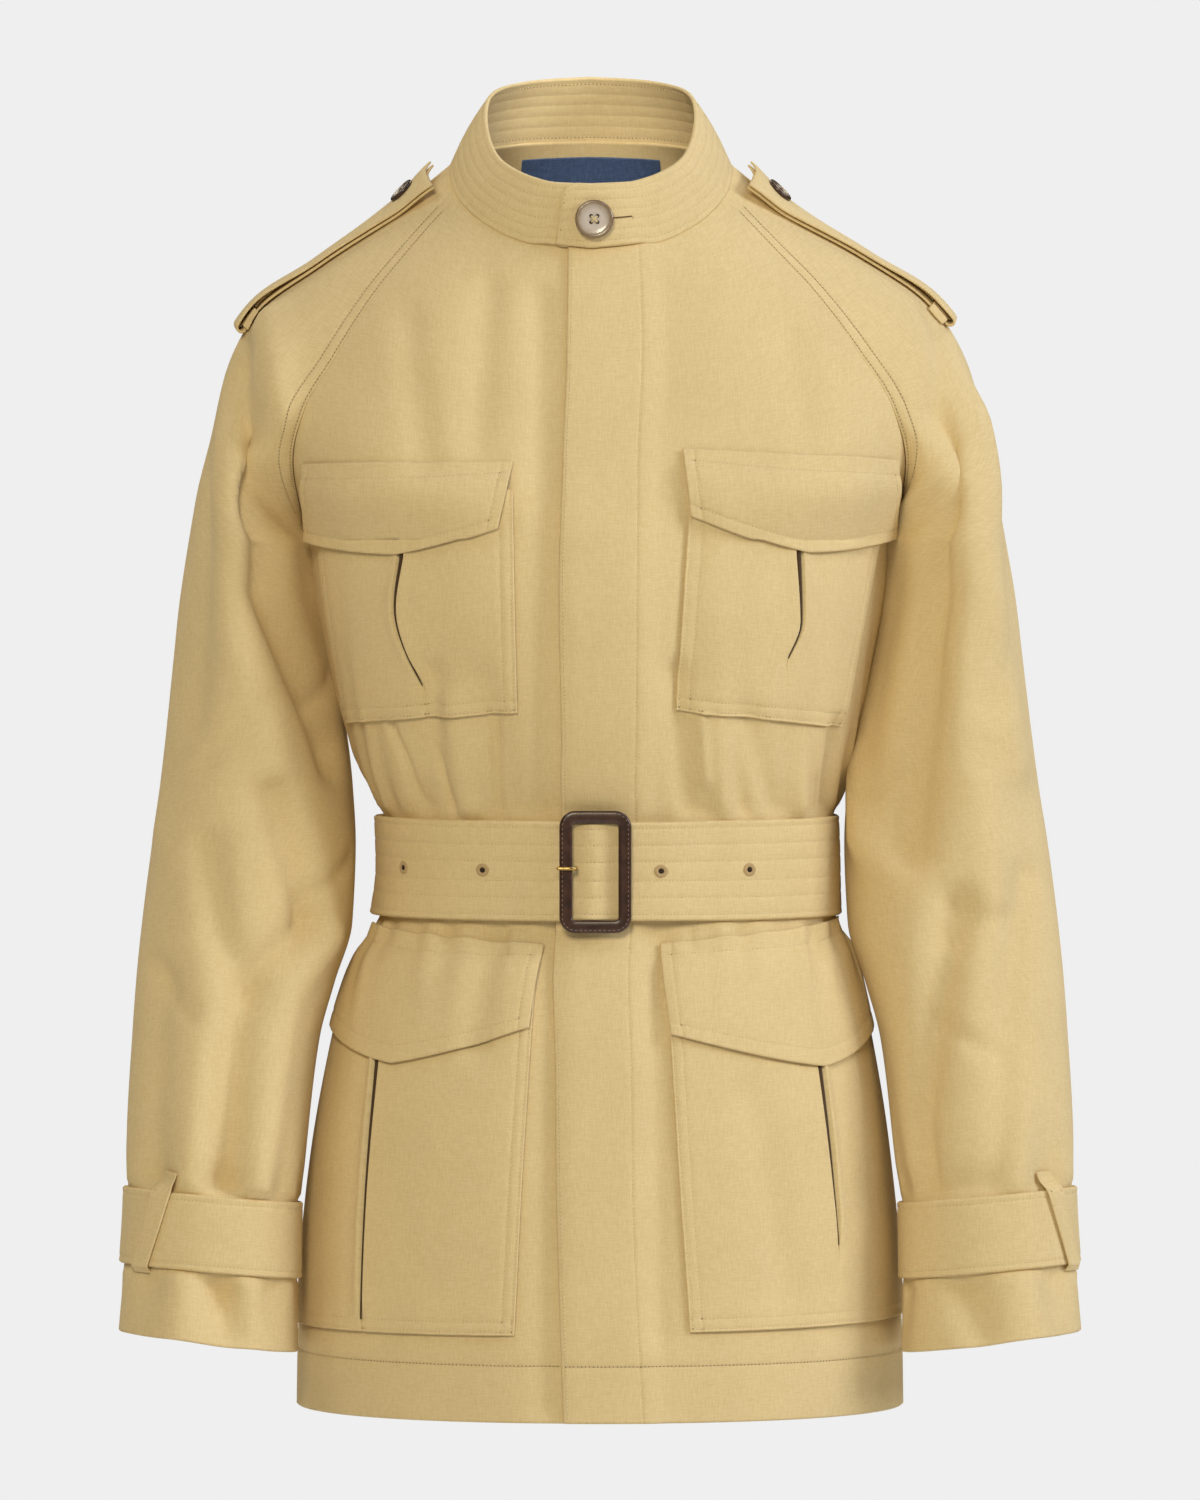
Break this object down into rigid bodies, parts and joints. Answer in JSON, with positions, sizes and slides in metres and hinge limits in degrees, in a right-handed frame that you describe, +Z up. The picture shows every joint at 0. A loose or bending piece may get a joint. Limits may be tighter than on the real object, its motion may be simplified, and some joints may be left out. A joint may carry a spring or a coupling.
{
  "type": "belted utility jacket",
  "caption": "Belted cotton utility jacket with a stand collar, raglan sleeves, flapped patch pockets, shoulder and cuff straps, filled out and open at the neck, cuffs and hem.",
  "frame": {"origin": "middle of the neck base, level with the tops of the raglan seams, where the wearer's shoulders hold the jacket up", "axes": "+Z up, -Y towards the front of the jacket, +X towards the wearer's left"},
  "size_m": [0.5396, 0.255, 0.75],
  "materials": {
    "cloth": "matt sand-coloured cotton drill with a fine slub",
    "label_cloth": "woven navy satin, bare",
    "leather": "polished dark brown leather over a hard core",
    "brass": "polished brass wire",
    "button": "pearly grey-brown button with a darker rim"
  },
  "bodies": {
    "root": {"front_left": "cloth", "front_right": "cloth", "back": "cloth", "sleeve_front_left": "cloth", "sleeve_back_left": "cloth", "sleeve_front_right": "cloth", "sleeve_back_right": "cloth", "collar": "cloth", "chest_pocket_right": "cloth", "chest_flap_right": "cloth", "chest_pocket_left": "cloth", "chest_flap_left": "cloth", "hip_pocket_right": "cloth", "hip_flap_right": "cloth", "hip_pocket_left": "cloth", "hip_flap_left": "cloth", "belt": "cloth", "shoulder_strap_left": "cloth", "shoulder_strap_right": "cloth", "strap_carrier_left": "cloth", "strap_carrier_right": "cloth", "cuff_strap_left": "cloth", "cuff_strap_right": "cloth", "cuff_loop_left": "cloth", "cuff_loop_right": "cloth", "label": "label_cloth", "buckle_frame": "leather", "strap_button_left": "leather", "strap_button_right": "leather", "buckle_prong": "brass", "collar_button": "button"}
  },
  "joints": []
}
